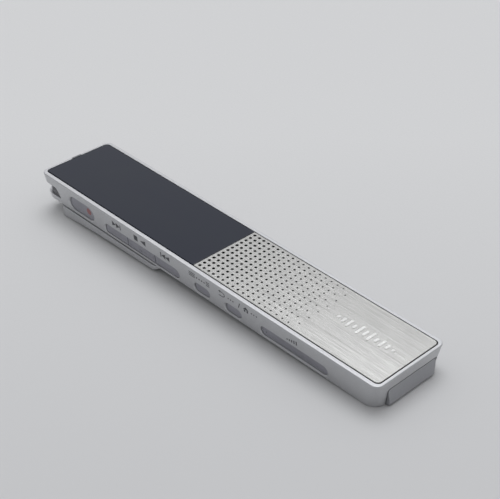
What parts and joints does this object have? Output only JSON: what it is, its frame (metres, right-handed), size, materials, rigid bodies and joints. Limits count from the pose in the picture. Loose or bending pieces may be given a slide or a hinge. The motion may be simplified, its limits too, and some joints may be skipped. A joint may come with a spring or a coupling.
{
  "type": "voice recorder",
  "caption": "Slim pocket voice recorder with a dark display window, a perforated metal speaker panel, side keys, a hinged connector cover and a spring clip.",
  "frame": {"origin": "centre of the underside of the overall box: the lowest point is the heel of the clip", "axes": "+X along the length towards the connector end, +Z out of the display window, the key row on the -Y side"},
  "size_m": [0.1024, 0.02, 0.0092],
  "materials": {
    "silver_paint": "fine satin silver paint",
    "rear_plastic": "fine matt silver-grey",
    "window_gloss": "polished smoked window",
    "brushed_panel": "lengthwise brushed, clear anodised",
    "emblem_polish": "polished",
    "key_plastic": "satin grey",
    "record_red": "satin red",
    "mesh_dark": "fine black mesh",
    "light_guide": "smoked clear",
    "led_white": "moulded",
    "oled_glass": "polished",
    "adhesive_black": "soft black",
    "steel_bright": "plain",
    "flex_amber": "amber film",
    "board_green": "solder mask",
    "chip_black": "moulded",
    "passive_tan": "ceramic",
    "capsule_metal": "drawn",
    "boot_rubber": "soft",
    "jack_black": "moulded",
    "terminal_brass": "plated",
    "cloth_black": "fine acoustic cloth",
    "speaker_black": "moulded",
    "cone_grey": "thin film",
    "battery_foil": "pouch foil",
    "lead_red": "wire sleeve"
  },
  "bodies": {
    "recorder_body": {"case_frame": "silver_paint", "rear_cover": "rear_plastic", "display_window": "window_gloss", "front_panel": "brushed_panel", "emblem": "emblem_polish", "left_mic_grille": "mesh_dark", "right_mic_grille": "mesh_dark", "indicator_light_guide": "light_guide", "indicator_led": "led_white", "oled_display": "oled_glass", "window_adhesive": "adhesive_black", "panel_adhesive": "adhesive_black", "case_screws": "steel_bright", "board_screws": "steel_bright", "clip_pin": "steel_bright", "clip_spring": "steel_bright", "cover_hinge_pin": "steel_bright", "display_bracket": "steel_bright", "shield_can": "steel_bright", "usb_connector": "steel_bright", "key_switches": "steel_bright", "crystal": "steel_bright", "display_flex": "flex_amber", "mic_flex": "flex_amber", "power_flex": "flex_amber", "key_board": "flex_amber", "main_board": "board_green", "usb_board": "board_green", "battery_protection_board": "board_green", "processor_chip": "chip_black", "memory_chip": "chip_black", "power_chip": "chip_black", "board_connector": "chip_black", "power_switch": "chip_black", "usb_tongue": "chip_black", "board_passives": "passive_tan", "left_microphone": "capsule_metal", "right_microphone": "capsule_metal", "left_mic_boot": "boot_rubber", "right_mic_boot": "boot_rubber", "speaker_gasket": "boot_rubber", "headphone_jack": "jack_black", "jack_terminals": "terminal_brass", "speaker_cloth": "cloth_black", "speaker_frame": "speaker_black", "speaker_diaphragm": "cone_grey", "battery": "battery_foil", "battery_leads": "lead_red"},
    "record_key": {"record_key": "key_plastic", "record_dot": "record_red"},
    "rewind_key": {"rewind_key": "key_plastic"},
    "play_key": {"play_key": "key_plastic"},
    "forward_key": {"forward_key": "key_plastic"},
    "option_key": {"option_key": "key_plastic"},
    "back_key": {"back_key": "key_plastic"},
    "volume_key": {"volume_key": "key_plastic"},
    "power_slider": {"power_slider": "key_plastic"},
    "connector_cover": {"connector_cover": "silver_paint"},
    "clip": {"clip": "silver_paint"}
  },
  "joints": [
    {"name": "record_key_press", "type": "slide", "parent": "recorder_body", "child": "record_key", "axis": [0, 0.9928, 0.1201], "range_m": [0, 0.00025], "stiffness_N_per_m": 400, "springref_m": -0.0004},
    {"name": "rewind_key_press", "type": "slide", "parent": "recorder_body", "child": "rewind_key", "axis": [0, 0.9928, 0.1201], "range_m": [0, 0.00025], "stiffness_N_per_m": 400, "springref_m": -0.0004},
    {"name": "play_key_press", "type": "slide", "parent": "recorder_body", "child": "play_key", "axis": [0, 0.9928, 0.1201], "range_m": [0, 0.00025], "stiffness_N_per_m": 400, "springref_m": -0.0004},
    {"name": "forward_key_press", "type": "slide", "parent": "recorder_body", "child": "forward_key", "axis": [0, 0.9928, 0.1201], "range_m": [0, 0.00025], "stiffness_N_per_m": 400, "springref_m": -0.0004},
    {"name": "option_key_press", "type": "slide", "parent": "recorder_body", "child": "option_key", "axis": [0, 0.9928, 0.1201], "range_m": [0, 0.00025], "stiffness_N_per_m": 400, "springref_m": -0.0004},
    {"name": "back_key_press", "type": "slide", "parent": "recorder_body", "child": "back_key", "axis": [0, 0.9928, 0.1201], "range_m": [0, 0.00025], "stiffness_N_per_m": 400, "springref_m": -0.0004},
    {"name": "volume_rock", "type": "hinge", "parent": "recorder_body", "child": "volume_key", "pos_m": [0.02902, -0.00868, 0.00471], "axis": [0, -0.1201, 0.9928], "range_deg": [-1, 1], "stiffness_Nm_per_rad": 0.02},
    {"name": "power_slide", "type": "slide", "parent": "recorder_body", "child": "power_slider", "axis": [1, 0, 0], "range_m": [-0.0015, 0.0015]},
    {"name": "cover_open", "type": "hinge", "parent": "recorder_body", "child": "connector_cover", "pos_m": [0.04535, 0, 0.0034], "axis": [0, 1, 0], "range_deg": [0, 95]},
    {"name": "clip_open", "type": "hinge", "parent": "recorder_body", "child": "clip", "pos_m": [-0.04375, 0, 0.0015], "axis": [0, 1, 0], "range_deg": [0, 10], "stiffness_Nm_per_rad": 0.02, "springref_deg": -22.92}
  ]
}
